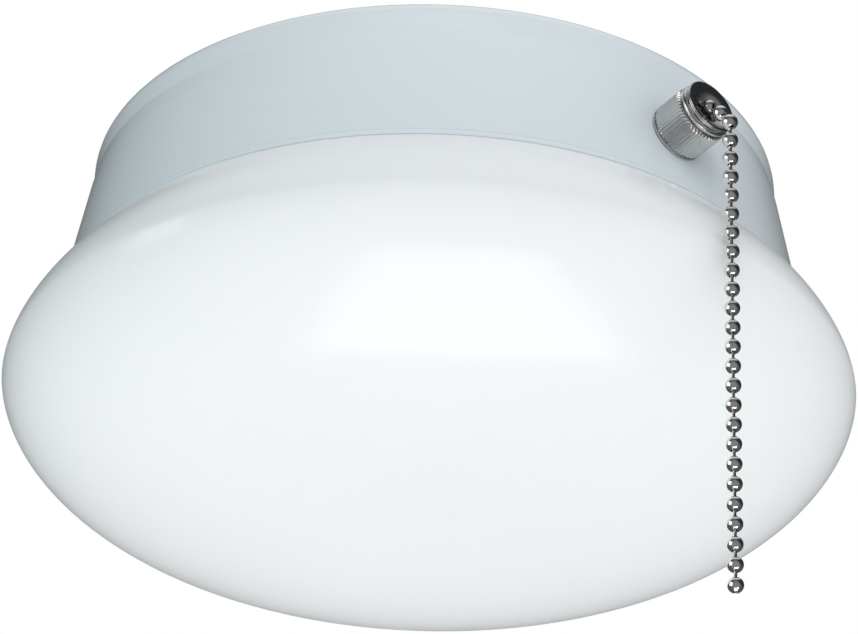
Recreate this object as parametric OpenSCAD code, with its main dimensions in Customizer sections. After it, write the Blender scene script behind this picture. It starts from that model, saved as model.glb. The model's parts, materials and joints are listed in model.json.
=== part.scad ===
// Round ceiling light with a pull-chain switch in its side wall.
// Origin: centre of the face that lies against the ceiling. +Z points up, into the ceiling.
// The switch looks along -Y and its axis stands square to the sloping wall.

/* [Housing] */
// Radius of the housing where it meets the ceiling
rim_r = 72.9; // [72.5:0.1:74]
// Height of the housing from the ceiling to its lower lip
housing_h = 35.6; // [35:0.1:36.5]
// Slope of the housing wall, in degrees
wall_slope = 10.6; // [10:0.1:11]
// Thickness of the drawn sheet
sheet_t = 0.8; // [0.6:0.1:1]
// Radius of the recess that clears the mounting strap
recess_r = 49.2; // [49:0.1:52]
// Depth of the recess below the ceiling
recess_d = 5; // [5:0.5:6]

/* [Lens] */
// Largest radius of the lens
lens_r = 89.1; // [88:0.1:89.5]
// Radius of the lens where its shoulder meets the lip
shoulder_r = 78.7; // [78:0.1:79]
// Height of the shoulder, from the lip down to the widest line
shoulder_h = 17; // [16:0.1:19]
// Height of the dome below the widest line
dome_h = 27.4; // [26:0.1:30]
// Thickness of the lens wall
lens_t = 2.4; // [2:0.1:3]

/* [Light source] */
// Radius of the plate that carries the board
plate_r = 46; // [44:0.5:46]
// Radius of the round circuit board
board_r = 42; // [41:0.5:43]

/* [Switch] */
// Height of the switch axis on the wall
switch_z = -21.5; // [-22:0.5:-21]
// Radius of the knurled nut
nut_r = 6.35; // [6.2:0.05:6.5]
// Length of the knurled nut
nut_l = 8; // [7.8:0.1:8.1]
// Number of ribs round the nut
nut_ribs = 48; // [36:1:60]
// Bore of the bell mouth that the chain runs through
mouth_bore_r = 2; // [1.9:0.05:2.1]
// Radius of the flare inside the bell mouth
flare_r = 3.7; // [3.6:0.05:3.8]
// Travel of the chain in one pull
pull_travel = 6; // [5.5:0.5:6]

/* [Chain] */
// Diameter of one bead
bead_d = 3.2; // [3:0.1:3.2]
// Distance from bead to bead
chain_pitch = 4.25; // [4.2:0.05:4.4]
// Beads that hang outside the mouth
hanging_beads = 25; // [12:1:30]

/* [Hidden] */
$fn = 64;

// Housing section
corner_r = 3;
straight_h = 6;
lip_h = 1.6;
lip_step = 0.35;
function wall_out(z) = rim_r + max(0, -z - straight_h) * tan(wall_slope);
wall_gauge = sheet_t / cos(wall_slope);
recess_floor = -recess_d - sheet_t;

// Mounting strap and its fasteners
strap_l = 94;
strap_w = 20;
strap_t = 1.6;
strap_end_r = 6;
box_slot_x = 39.7;
box_slot_l = 14;
box_slot_r = 2.4;
canopy_x = 28.6;
canopy_screw_r = 1.9;
keyhole_turn = 16;
strap_nipple_r = 5.2;
ground_x = 14;
grommet_y = 26;
grommet_bore_r = 5;
grommet_hole_r = 8;
slack = 0.05;

// Plate, board and standoffs
standoff_orbit = 38;
standoff_angles = [30, 150, 270];
plate_z = -12;
plate_t = 1.2;
board_t = 1.6;
board_z = plate_z - plate_t;
parts_z = board_z - board_t;
m3_r = 1.2;
m3_clear_r = 1.7;
access_r = 5;

// Lens neck, lugs and the ring that holds them
seat_gap = 0.3;
shoulder_z = -housing_h - seat_gap;
widest_z = shoulder_z - shoulder_h;
shoulder_power = 1.57;
dome_side_power = 0.61;
dome_drop_power = 1.2;
neck_r = 74.2;
neck_t = 2;
neck_top = 2.6 - housing_h;
lug_r = 76;
lug_bottom = 0.85 - housing_h;
lug_half = 7;
ring_flange_t = 0.7;
ring_top = 3 - housing_h;
notch_centre = -17;
notch_half = 8.5;

// Switch
switch_r = wall_out(switch_z);
mouth_x = 6.9;
mouth_depth = mouth_x + flare_r;
neck_out_r = 4.8;
neck_in_r = 2.9;
case_front = -4.6;
case_l = 22;
case_w = 22;
case_floor = -7;
case_top = 5.6;
case_t = 1.2;
cover_t = 1.4;
case_back = case_front - case_l;
case_inner_z = case_floor + case_t;
rivet_r = 0.9;
rotor_x = -13;
rotor_y = -3;
rotor_r = 4.2;
tooth_r = 4.6;
pawl_x = -16;
pin_r = 0.8;
tab_out = -29.5;
tab_w = 1.4;
tab_y = [1.45, -6];
slide_front = -13.4;
slide_l = 6;
slide_w = 5.2;
slide_bottom = -2.2;
slide_top = 4.4;

// Chain
bead_r = bead_d / 2;
link_r = 0.4;
link_root = 1.2;
hinge_gap = bead_r + 0.03;
first_bead_x = 1.4;
inner_beads = 4;
plumb = -90 - wall_slope;
link_turns = [0, 0, -52, -62];
first_hanging = 4;
last_bead = first_hanging + hanging_beads - 1;
function link_deg(i) = i < 0 ? 0 : i < len(link_turns) ? link_turns[i] : plumb;
function heading(a) = [cos(a), 0, sin(a)];
function bead_at(i) =
    i <= 0 ? [first_bead_x + i * chain_pitch, 0, 0]
           : bead_at(i - 1) + chain_pitch * heading(link_deg(i - 1));

// Places children in the switch's own frame: +X out along the neck, +Y sideways.
module at_switch() {
    translate([0, -switch_r, switch_z])
        rotate([-wall_slope, 0, 0])
            rotate([0, 0, -90])
                children();
}

// The same move for one point.
function from_switch(p) = [
    p[1],
    -switch_r - p[0] * cos(wall_slope) + p[2] * sin(wall_slope),
    switch_z + p[0] * sin(wall_slope) + p[2] * cos(wall_slope)];

// Turns a shape built along Z so that it lies along X.
module along_x() {
    rotate([0, 90, 0]) children();
}

// Flat outline with round corners.
module round_rect(size, r) {
    square([size[0] - 2 * r, size[1]], center = true);
    square([size[0], size[1] - 2 * r], center = true);
    for (sx = [-1, 1], sy = [-1, 1])
        translate([sx * (size[0] / 2 - r), sy * (size[1] / 2 - r)])
            circle(r = r);
}

// Outline of a slot along X.
module slot_outline(l, r) {
    square([l - 2 * r, 2 * r], center = true);
    for (s = [-1, 1])
        translate([s * (l / 2 - r), 0])
            circle(r = r);
}

// Sector of a ring, from one angle to another.
module ring_sector(r_in, r_out, a0, a1, z0, z1) {
    rotate([0, 0, a0])
        rotate_extrude(angle = a1 - a0)
            translate([r_in, z0])
                square([r_out - r_in, z1 - z0]);
}

// Tube swept along points that lie nearly in a plane of constant X.
module swept_tube(points, r, sides = 8) {
    n = len(points);
    function unit(v) = v / norm(v);
    function tangent(i) = unit(points[min(i + 1, n - 1)] - points[max(i - 1, 0)]);
    function side_a(i) = unit(cross(tangent(i), [1, 0, 0]));
    function side_b(i) = cross(tangent(i), side_a(i));
    rings = [for (i = [0 : n - 1], k = [0 : sides - 1])
        points[i] + r * (cos(360 * k / sides) * side_a(i) + sin(360 * k / sides) * side_b(i))];
    walls = [for (i = [0 : n - 2], k = [0 : sides - 1])
        [i * sides + k, i * sides + (k + 1) % sides,
         (i + 1) * sides + (k + 1) % sides, (i + 1) * sides + k]];
    polyhedron(rings, concat(walls,
        [[for (k = [sides - 1 : -1 : 0]) k]],
        [[for (k = [0 : sides - 1]) (n - 1) * sides + k]]), convexity = 4);
}

// ---------------------------------------------------------------- housing and mounting

module housing_section() {
    lip_z = -housing_h + lip_h;
    polygon(concat(
        [[0, -recess_d], [recess_r, -recess_d], [recess_r, 0]],
        [for (a = [90 : -15 : 0])
            [rim_r - corner_r + corner_r * cos(a), -corner_r + corner_r * sin(a)]],
        [[rim_r, -straight_h],
         [wall_out(lip_z), lip_z],
         [wall_out(lip_z) + lip_step, lip_z - lip_step],
         [wall_out(-housing_h) + lip_step, -housing_h],
         [wall_out(-housing_h) - wall_gauge, -housing_h],
         [rim_r - sheet_t, -straight_h]],
        [for (a = [0 : 15 : 90])
            [rim_r - corner_r + (corner_r - sheet_t) * cos(a),
             -corner_r + (corner_r - sheet_t) * sin(a)]],
        [[recess_r + sheet_t, -sheet_t],
         [recess_r + sheet_t, recess_floor],
         [0, recess_floor]]));
}

// Keyhole: a round entry for the screw head and an arc slot for its shank.
module keyhole(a0) {
    entry_r = 4.6;
    slot_r = 2.2;
    rotate([0, 0, a0]) {
        translate([canopy_x, 0, 0]) cylinder(h = 20, r = slot_r, center = true);
        ring_sector(canopy_x - slot_r, canopy_x + slot_r, 0, keyhole_turn, -10, 10);
        rotate([0, 0, keyhole_turn])
            translate([canopy_x, 0, 0]) cylinder(h = 20, r = entry_r, center = true);
    }
}

module housing() {
    color("white")
    difference() {
        rotate_extrude($fn = 128) housing_section();
        at_switch() along_x() cylinder(h = 8, r = neck_out_r + 0.15, center = true);
        keyhole(0);
        keyhole(180);
        translate([0, grommet_y, 0]) cylinder(h = 20, r = grommet_hole_r, center = true);
        for (a = standoff_angles)
            rotate([0, 0, a])
                translate([standoff_orbit, 0, 0])
                    cylinder(h = 20, r = m3_clear_r, center = true);
    }
}

module wire_grommet() {
    flange_r = 10;
    flange_t = 1.8;
    lower = recess_floor - flange_t - slack;
    upper = -recess_d + flange_t + slack;
    color("dimgray")
    translate([0, grommet_y, 0])
        difference() {
            union() {
                translate([0, 0, lower]) cylinder(h = upper - lower, r = grommet_hole_r - slack);
                translate([0, 0, lower]) cylinder(h = flange_t, r = flange_r);
                translate([0, 0, upper - flange_t]) cylinder(h = flange_t, r = flange_r);
            }
            cylinder(h = 30, r = grommet_bore_r, center = true);
        }
}

module mounting_strap() {
    color("silver")
    translate([0, 0, -strap_t])
        linear_extrude(strap_t)
            difference() {
                round_rect([strap_l, strap_w], strap_end_r);
                circle(r = strap_nipple_r);
                for (s = [-1, 1]) {
                    translate([s * box_slot_x, 0]) slot_outline(box_slot_l, box_slot_r);
                    translate([s * canopy_x, 0]) circle(r = canopy_screw_r + slack);
                }
                translate([ground_x, 0]) circle(r = canopy_screw_r + slack);
            }
}

// Round-headed screw that points up, with its head under z = 0 and a cross recess.
module pan_screw(head_r, head_h, shank_r, shank_l) {
    recess_w = head_r * 0.28;
    difference() {
        union() {
            cylinder(h = shank_l, r = shank_r);
            translate([0, 0, -head_h * 0.55]) cylinder(h = head_h * 0.55, r = head_r);
            translate([0, 0, -head_h]) cylinder(h = head_h * 0.45 + 0.01, r1 = head_r * 0.72, r2 = head_r);
        }
        for (a = [0, 90])
            rotate([0, 0, a])
                translate([-head_r * 0.6, -recess_w / 2, -head_h - 1])
                    cube([head_r * 1.2, recess_w, 1 + head_h * 0.55]);
    }
}

module canopy_screws() {
    head_r = 4;
    head_h = 2.4;
    color("gainsboro")
    for (s = [-1, 1])
        translate([s * canopy_x, 0, recess_floor - slack])
            pan_screw(head_r, head_h, canopy_screw_r, -recess_floor + slack - 0.1);
}

module ground_screw() {
    color("green")
    translate([ground_x, 0, -strap_t - slack]) {
        difference() {
            translate([0, 0, -2]) cylinder(h = 2, r = 3.6, $fn = 6);
            translate([-4, -0.4, -3]) cube([8, 0.8, 1.8]);
        }
        cylinder(h = strap_t + slack - 0.1, r = canopy_screw_r);
    }
}

// ---------------------------------------------------------------- light source

module at_standoffs() {
    for (a = standoff_angles)
        rotate([0, 0, a])
            translate([standoff_orbit, 0, 0])
                children();
}

module standoffs() {
    color("khaki")
    at_standoffs()
        translate([0, 0, plate_z])
            difference() {
                cylinder(h = recess_floor - plate_z, r = 3.2, $fn = 6);
                translate([0, 0, -1]) cylinder(h = 12, r = m3_r + slack);
            }
}

module standoff_screws() {
    color("gainsboro")
    at_standoffs()
        translate([0, 0, -recess_d])
            mirror([0, 0, 1])
                pan_screw(2.8, 1.9, m3_r, 3.4);
}

module board_screws() {
    color("gainsboro")
    at_standoffs()
        translate([0, 0, parts_z])
            pan_screw(2.8, 1.9, m3_r, plate_t + board_t + 2.6);
}

module access_holes() {
    for (s = [-1, 1])
        translate([s * canopy_x, 0])
            circle(r = access_r);
    for (a = standoff_angles)
        rotate([0, 0, a])
            translate([standoff_orbit, 0])
                circle(r = m3_clear_r);
}

module led_plate() {
    rim_h = 3;
    color("lightgray") {
        translate([0, 0, plate_z - plate_t])
            linear_extrude(plate_t)
                difference() {
                    circle(r = plate_r, $fn = 128);
                    circle(r = 7);
                    access_holes();
                }
        translate([0, 0, plate_z - 0.01])
            difference() {
                cylinder(h = rim_h, r = plate_r, $fn = 128);
                translate([0, 0, -1]) cylinder(h = rim_h + 2, r = plate_r - plate_t, $fn = 128);
            }
    }
}

module led_board() {
    color("whitesmoke")
    translate([0, 0, parts_z])
        linear_extrude(board_t)
            difference() {
                circle(r = board_r, $fn = 128);
                circle(r = 6);
                access_holes();
            }
}

// One LED package: a white body with a round phosphor window.
module led_package() {
    body = [3.5, 2.8, 0.75];
    difference() {
        translate([-body[0] / 2, -body[1] / 2, -body[2]]) cube(body);
        translate([0, 0, -body[2] - 1]) cylinder(h = 1.25, r = 1.1);
    }
}

module leds() {
    outer = [35, 12, 15];
    inner = [19, 8, 22.5];
    color("lemonchiffon")
    for (orbit = [outer, inner])
        for (k = [0 : orbit[1] - 1])
            rotate([0, 0, orbit[2] + k * 360 / orbit[1]])
                translate([orbit[0], 0, parts_z])
                    led_package();
}

// Small moulded chip with legs along its two long sides.
module chip(l, w, h, legs) {
    translate([-l / 2, -w / 2, -h]) cube([l, w, h - 0.1]);
    for (k = [0 : legs - 1], s = [-1, 1])
        translate([l * ((k + 0.5) / legs - 0.5) - 0.2, s * (w / 2 + 0.5) - 0.6, -0.35])
            cube([0.4, 1.2, 0.35]);
}

module rectifier() {
    color("black")
    translate([0, 27, parts_z]) chip(5, 4, 2.3, 2);
}

module driver_chips() {
    color("black")
    for (s = [-1, 1])
        translate([s * 12, 25, parts_z]) chip(4.9, 3.9, 1.6, 4);
}

module surge_arrester() {
    color("royalblue")
    translate([20, -20, parts_z]) {
        translate([0, 0, -3.4]) cylinder(h = 3, r = 3.4);
        for (s = [-1, 1])
            translate([s * 2, 0, -0.5]) cylinder(h = 0.5, r = 0.4);
    }
}

module fuse_resistor() {
    color("tan")
    translate([-18, -18, parts_z - 1.7]) {
        rotate([0, 0, 45]) along_x() cylinder(h = 7, r = 1.5, center = true);
        rotate([0, 0, 45]) along_x() cylinder(h = 10, r = 0.35, center = true);
        for (s = [-1, 1])
            rotate([0, 0, 45])
                translate([s * 5, 0, -0.35]) cylinder(h = 2.05, r = 0.35);
    }
}

module capacitor() {
    color("darkslateblue")
    translate([-24, 14, parts_z]) {
        translate([0, 0, -6.5]) cylinder(h = 6.3, r = 3);
        translate([0, 0, -0.3]) cylinder(h = 0.3, r = 2.4);
    }
}

module terminal_block() {
    size = [12, 9, 7];
    entry_r = 1.2;
    entry_z = parts_z - 3.5;
    color("ivory")
    difference() {
        translate([-size[0] / 2, -32, parts_z - size[2]]) cube(size);
        for (x = [-3, 3]) {
            translate([x, -32.01, entry_z]) rotate([-90, 0, 0]) cylinder(h = 4, r = entry_r);
            translate([x, -26, parts_z - size[2] - 1]) cylinder(h = 4, r = 1.3);
        }
    }
}

// ---------------------------------------------------------------- lens and its ring

function shoulder_at(t) = [
    shoulder_r + (lens_r - shoulder_r) * (1 - pow(1 - t, shoulder_power)),
    shoulder_z - shoulder_h * t];
function dome_at(a, inset) = [
    (lens_r - inset) * pow(cos(a), dome_side_power),
    widest_z - (dome_h - inset) * pow(sin(a), dome_drop_power)];

module lens_section() {
    steps = 12;
    web = 0.125;
    polygon(concat(
        [[neck_r, neck_top], [neck_r, shoulder_z]],
        [for (i = [0 : steps]) shoulder_at(i / steps)],
        [for (a = [6 : 6 : 84]) dome_at(a, 0)],
        [dome_at(87, 0), [0, widest_z - dome_h], [0, widest_z - dome_h + lens_t]],
        [dome_at(87, lens_t)],
        [for (a = [84 : -6 : 6]) dome_at(a, lens_t)],
        [for (i = [0 : 10]) shoulder_at(1 - (1 - web) * i / 10) - [lens_t, 0]],
        [[neck_r - neck_t, shoulder_z - shoulder_h * web], [neck_r - neck_t, neck_top]]));
}

module lens() {
    color("white") {
        rotate_extrude($fn = 128) lens_section();
        for (k = [0 : 2])
            ring_sector(neck_r - 0.5, lug_r, k * 120 - lug_half, k * 120 + lug_half,
                lug_bottom, neck_top);
    }
}

module lens_ring() {
    flange_bottom = -housing_h + 0.05;
    flange_top = flange_bottom + ring_flange_t;
    flange_in = neck_r + 0.5;
    band_t = 0.7;
    stop_from = 8.2;
    stop_to = 10.5;
    function band_out(z) = wall_out(z) - wall_gauge - slack;
    color("silver") {
        rotate_extrude($fn = 128)
            polygon([
                [band_out(flange_bottom) - band_t, flange_bottom],
                [band_out(flange_bottom), flange_bottom],
                [band_out(ring_top), ring_top],
                [band_out(ring_top) - band_t, ring_top]]);
        for (k = [0 : 2]) {
            ring_sector(flange_in, band_out(flange_bottom) - band_t / 2,
                k * 120 + notch_centre + notch_half, k * 120 + 120 + notch_centre - notch_half,
                flange_bottom, flange_top);
            ring_sector(flange_in + 0.1, lug_r, k * 120 + stop_from, k * 120 + stop_to,
                flange_top - 0.1, ring_top - 0.2);
        }
    }
}

// ---------------------------------------------------------------- switch, outside parts

module knurled_nut() {
    rib_depth = 0.32;
    chamfer = 0.6;
    color("silver")
    at_switch()
        translate([slack, 0, 0])
            along_x()
                difference() {
                    intersection() {
                        linear_extrude(nut_l)
                            polygon([for (k = [0 : 2 * nut_ribs - 1])
                                (nut_r - (k % 2) * rib_depth)
                                * [cos(180 * k / nut_ribs), sin(180 * k / nut_ribs)]]);
                        rotate_extrude()
                            polygon([[0, 0], [nut_r - 0.15, 0], [nut_r + 0.1, 0.3],
                                [nut_r + 0.1, nut_l - chamfer], [nut_r - chamfer, nut_l],
                                [0, nut_l]]);
                    }
                    translate([0, 0, -1]) cylinder(h = nut_l + 2, r = neck_out_r + slack);
                }
}

module neck_tube() {
    flange_x = case_front - case_t - slack;
    flange_t = 1;
    thread_pitch = 0.9;
    thread_depth = 0.25;
    outer_end = 7.4;
    color("goldenrod")
    at_switch()
        along_x()
            difference() {
                union() {
                    translate([0, 0, flange_x - flange_t])
                        cylinder(h = flange_t, r = 5.4);
                    translate([0, 0, flange_x - 0.1])
                        cylinder(h = outer_end - flange_x + 0.1, r = neck_out_r - thread_depth);
                    for (z = [case_front + 0.3 : thread_pitch : outer_end - 0.7])
                        translate([0, 0, z])
                            cylinder(h = thread_pitch / 2, r = neck_out_r);
                }
                translate([0, 0, flange_x - 3]) cylinder(h = 30, r = neck_in_r);
            }
}

// Turned ferrule: a tail in the neck, a rounded collar, a groove and a flared thin lip.
module bell_mouth() {
    tail_x = 2;
    collar_x = nut_l + 0.15;
    collar_w = 1.3;
    collar_r = 5.95;
    groove_r = 5;
    groove_x = collar_x + collar_w;
    lip_x = mouth_depth - 0.9;
    lip_r = mouth_bore_r + flare_r + 0.32;
    color("silver")
    at_switch()
        along_x()
            difference() {
                rotate_extrude()
                    polygon(concat(
                        [[0, tail_x], [neck_in_r - slack, tail_x], [neck_in_r - slack, collar_x],
                         [collar_r - 0.5, collar_x]],
                        [for (a = [-60 : 30 : 60])
                            [collar_r - collar_w / 2 + collar_w / 2 * cos(a),
                             collar_x + collar_w / 2 + collar_w / 2 * sin(a)]],
                        [[groove_r, groove_x], [groove_r, lip_x],
                         [lip_r - 0.25, lip_x + 0.35], [lip_r, lip_x + 0.7],
                         [lip_r - 0.08, mouth_depth - 0.1], [lip_r - 0.24, mouth_depth],
                         [0, mouth_depth]]));
                translate([0, 0, tail_x - 1]) cylinder(h = mouth_x - tail_x + 1.01, r = mouth_bore_r);
                rotate_extrude()
                    translate([0, mouth_x])
                        difference() {
                            square([mouth_bore_r + flare_r, flare_r + 1]);
                            translate([mouth_bore_r + flare_r, 0]) circle(r = flare_r);
                        }
            }
}

module star_washer() {
    washer_t = 0.7;
    teeth = 12;
    color("silver")
    at_switch()
        translate([-1.9, 0, 0])
            along_x()
                linear_extrude(washer_t)
                    difference() {
                        circle(r = 7);
                        polygon([for (k = [0 : 2 * teeth - 1])
                            (k % 2 == 0 ? 5.1 : 6.1)
                            * [cos(180 * k / teeth), sin(180 * k / teeth)]]);
                    }
}

module inner_nut() {
    color("goldenrod")
    at_switch()
        translate([-4.1, 0, 0])
            along_x()
                difference() {
                    cylinder(h = 2.1, r = 6.6, $fn = 6);
                    translate([0, 0, -1]) cylinder(h = 5, r = neck_out_r + slack);
                }
}

// ---------------------------------------------------------------- switch, case and works

module case_outline(inset) {
    translate([(case_front + case_back) / 2, 0])
        round_rect([case_l - 2 * inset, case_w - 2 * inset], 2.2);
}

module rivet_spots() {
    for (x = [case_front - 2.4, case_back + 2.4], y = [-8.6, 8.6])
        translate([x, y, 0]) children();
}

module switch_case() {
    boss_r = 1.8;
    color("saddlebrown")
    at_switch()
        difference() {
            union() {
                difference() {
                    translate([0, 0, case_floor])
                        linear_extrude(case_top - case_floor) case_outline(0);
                    translate([0, 0, case_inner_z])
                        linear_extrude(case_top - case_inner_z + 1) case_outline(case_t);
                }
                rivet_spots()
                    translate([0, 0, case_inner_z - 0.1])
                        cylinder(h = case_top - case_inner_z + 0.1, r = boss_r);
                translate([-24, 0, case_inner_z - 0.1]) cylinder(h = 9.4, r = 0.6);
            }
            rivet_spots() cylinder(h = 30, r = rivet_r + slack, center = true);
            translate([case_front - case_t - 0.2, 0, 0])
                along_x() cylinder(h = case_t + 1, r = neck_out_r + slack);
            translate([rotor_x, rotor_y, case_inner_z - 0.7]) cylinder(h = 2, r = pin_r + 0.02);
            for (y = tab_y)
                translate([case_back - 1, y - tab_w / 2 - slack, case_inner_z])
                    cube([case_t + 1.5, tab_w + 2 * slack, 0.5]);
        }
}

module switch_cover() {
    rib_t = 0.8;
    rib_gap = slide_w / 2 + 0.2;
    rib_l = 16.4;
    color("saddlebrown")
    at_switch()
        difference() {
            union() {
                translate([0, 0, case_top])
                    linear_extrude(cover_t) case_outline(0);
                for (s = [-1, 1])
                    translate([-7.6 - rib_l, s * (rib_gap + rib_t / 2) - rib_t / 2, -1.9])
                        cube([rib_l, rib_t, case_top + 2]);
            }
            rivet_spots() cylinder(h = 30, r = rivet_r + slack, center = true);
        }
}

module case_rivets() {
    head_r = 1.6;
    head_h = 0.5;
    color("silver")
    at_switch()
        rivet_spots() {
            translate([0, 0, case_floor - slack - head_h])
                cylinder(h = case_top + cover_t - case_floor + 2 * slack + 2 * head_h, r = rivet_r);
            translate([0, 0, case_floor - slack - head_h]) cylinder(h = head_h, r = head_r);
            translate([0, 0, case_top + cover_t + slack]) cylinder(h = head_h, r = head_r);
        }
}

// Slide that the chain pulls. A socket holds its last bead; a pawl reaches down to the rotor.
module pull_slide() {
    anchor_x = bead_at(-inner_beads)[0];
    color("orange")
    at_switch()
        difference() {
            union() {
                translate([slide_front - slide_l, -slide_w / 2, slide_bottom])
                    cube([slide_l, slide_w, slide_top - slide_bottom]);
                translate([pawl_x, 0, slide_bottom - 1.6]) cylinder(h = 1.7, r = 0.45);
            }
            translate([anchor_x, 0, 0]) sphere(r = bead_r + slack);
            translate([anchor_x, 0, 0]) cylinder(h = slide_top + 1, r = bead_r + slack);
            translate([anchor_x, -0.6, -0.6]) cube([slide_l, 1.2, slide_top + 2]);
            translate([slide_front - slide_l + 0.9, -slide_w, 3.3])
                rotate([-90, 0, 0]) cylinder(h = 2 * slide_w, r = 0.5);
            translate([slide_front - slide_l - 1, -1.9, 2.2]) cube([1.5, 3.8, 3]);
        }
}

// Close-wound extension spring behind the slide, its axis along the neck.
module return_spring() {
    coils = 6;
    rings_per_coil = 10;
    sides = 6;
    wire_r = 0.2;
    coil_r = 1.3;
    x0 = -23.1;
    x1 = -20;
    count = coils * rings_per_coil;
    function axis_x(i) = x0 + (x1 - x0) * i / count;
    function out(i) = [0, cos(360 * i / rings_per_coil), sin(360 * i / rings_per_coil)];
    rings = [for (i = [0 : count], k = [0 : sides - 1])
        [axis_x(i), 0, 2] + (coil_r + wire_r * cos(360 * k / sides)) * out(i)
        + [wire_r * sin(360 * k / sides), 0, 0]];
    walls = [for (i = [0 : count - 1], k = [0 : sides - 1])
        [i * sides + k, i * sides + (k + 1) % sides,
         (i + 1) * sides + (k + 1) % sides, (i + 1) * sides + k]];
    color("gray")
    at_switch()
        polyhedron(rings, concat(walls,
            [[for (k = [sides - 1 : -1 : 0]) k]],
            [[for (k = [0 : sides - 1]) count * sides + k]]), convexity = 8);
}

// Round disc with four flats, for the index spring.
module index_disc() {
    flat = rotor_r - 0.45;
    difference() {
        circle(r = rotor_r);
        for (a = [0 : 90 : 270])
            rotate(a)
                translate([flat, -rotor_r]) square([2, 2 * rotor_r]);
    }
}

// Four-tooth ratchet. One pull turns it a quarter turn.
module ratchet_rotor() {
    disc_z = -5;
    disc_t = 1;
    tooth_h = 1.5;
    tooth_w = 0.9;
    lead = 0.85;
    hub_r = 1.9;
    bore = pin_r + 0.04;
    color("ivory")
    at_switch()
        translate([rotor_x, rotor_y, disc_z]) {
            linear_extrude(disc_t)
                difference() {
                    index_disc();
                    circle(r = bore);
                }
            difference() {
                translate([0, 0, disc_t / 2]) cylinder(h = disc_t / 2 + tooth_h, r = hub_r);
                translate([0, 0, -1]) cylinder(h = 8, r = bore);
            }
            for (a = [45 : 90 : 315])
                rotate([0, 0, a])
                    translate([1.3, -tooth_w - lead, disc_t / 2])
                        cube([tooth_r - 1.4, tooth_w, disc_t / 2 + tooth_h - 0.1]);
        }
}

module rotor_pin() {
    color("silver")
    at_switch()
        translate([rotor_x, rotor_y, case_inner_z - 0.65])
            cylinder(h = 3.95, r = pin_r);
}

module moving_contact() {
    blade_t = 0.3;
    color("goldenrod")
    at_switch()
        translate([rotor_x, rotor_y, -5.34])
            linear_extrude(blade_t)
                difference() {
                    union() {
                        slot_outline(9, 0.8);
                        circle(r = 1.8);
                    }
                    circle(r = pin_r + 0.1);
                }
}

// Brass strip under the rotor that runs out through the back wall as a tab.
module fixed_contact(y) {
    strip_t = 0.4;
    color("goldenrod")
    at_switch()
        translate([tab_out, y - tab_w / 2, case_inner_z])
            cube([rotor_x + 1.2 - tab_out, tab_w, strip_t]);
}

module fixed_contact_1() {
    fixed_contact(tab_y[0]);
}

module fixed_contact_2() {
    fixed_contact(tab_y[1]);
}

module index_spring() {
    leaf_y = rotor_y - 5.2;
    leaf_t = 0.2;
    leaf_w = 1.9;
    half_l = 3.9;
    foot = 1.6;
    color("gainsboro")
    at_switch()
        translate([rotor_x, leaf_y, -4.9]) {
            translate([-half_l, 0, 0]) cube([2 * half_l, leaf_t, leaf_w]);
            for (x = [-half_l, half_l - leaf_t])
                translate([x, -foot, 0]) cube([leaf_t, foot + leaf_t / 2, leaf_w]);
        }
}

// ---------------------------------------------------------------- switch leads

function bezier(p, t) =
    pow(1 - t, 3) * p[0] + 3 * t * pow(1 - t, 2) * p[1]
    + 3 * t * t * (1 - t) * p[2] + pow(t, 3) * p[3];

// Lead from a tab of the switch to an entry of the terminal block.
module switch_lead(y, entry_x) {
    lead_r = 0.9;
    reach = 7;
    start = from_switch([tab_out - slack, y, case_inner_z + 0.2]);
    ahead = from_switch([tab_out - reach, y, case_inner_z + 0.2]);
    finish = [entry_x, -29.4, parts_z - 3.5];
    route = [for (i = [0 : 14])
        bezier([start, ahead, finish - [0, 1.6 * reach, 0], finish], i / 14)];
    swept_tube(route, lead_r);
}

module switch_lead_1() {
    color("black") switch_lead(tab_y[0], 3);
}

module switch_lead_2() {
    color("black") switch_lead(tab_y[1], -3);
}

// ---------------------------------------------------------------- ball chain

module bead(i) {
    translate(bead_at(i)) sphere(r = bead_r);
}

// Link from bead i to the next one, starting a given distance from the centre of bead i.
module chain_link(i, start = link_root) {
    translate(bead_at(i))
        rotate([0, -link_deg(i), 0])
            translate([start, 0, 0])
                along_x() cylinder(h = chain_pitch - link_root - start, r = link_r, $fn = 32);
}

// Link and bead that turn about the bead before them.
module chain_step(i) {
    chain_link(i, hinge_gap);
    bead(i + 1);
}

module chain_run() {
    color("silver")
    at_switch() {
        for (i = [-inner_beads : 0]) bead(i);
        for (i = [-inner_beads : -1]) chain_link(i);
    }
}

module chain_turn_1() {
    color("silver")
    at_switch() chain_step(0);
}

module chain_turn_2() {
    color("silver")
    at_switch() {
        chain_step(1);
        chain_link(2);
        bead(3);
    }
}

module chain_turn_3() {
    color("silver")
    at_switch() chain_step(3);
}

module chain_turn_4() {
    color("silver")
    at_switch() chain_step(4);
}

module chain_drop() {
    color("silver")
    at_switch() chain_step(5);
}

module chain_tail() {
    color("silver")
    at_switch() {
        chain_step(6);
        for (i = [7 : last_bead - 1]) {
            chain_link(i);
            bead(i + 1);
        }
    }
}

housing();
wire_grommet();
mounting_strap();
canopy_screws();
ground_screw();
standoffs();
standoff_screws();
led_plate();
led_board();
leds();
rectifier();
driver_chips();
surge_arrester();
fuse_resistor();
capacitor();
terminal_block();
board_screws();
lens_ring();
lens();
knurled_nut();
neck_tube();
bell_mouth();
star_washer();
inner_nut();
switch_case();
switch_cover();
case_rivets();
pull_slide();
return_spring();
ratchet_rotor();
rotor_pin();
moving_contact();
fixed_contact_1();
fixed_contact_2();
index_spring();
switch_lead_1();
switch_lead_2();
chain_run();
chain_turn_1();
chain_turn_2();
chain_turn_3();
chain_turn_4();
chain_drop();
chain_tail();
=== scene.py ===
"""Looks of a round ceiling light with a pull-chain switch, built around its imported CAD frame."""

import json
import math
import random

import bmesh
import bpy
from mathutils import Matrix, Vector

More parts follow.
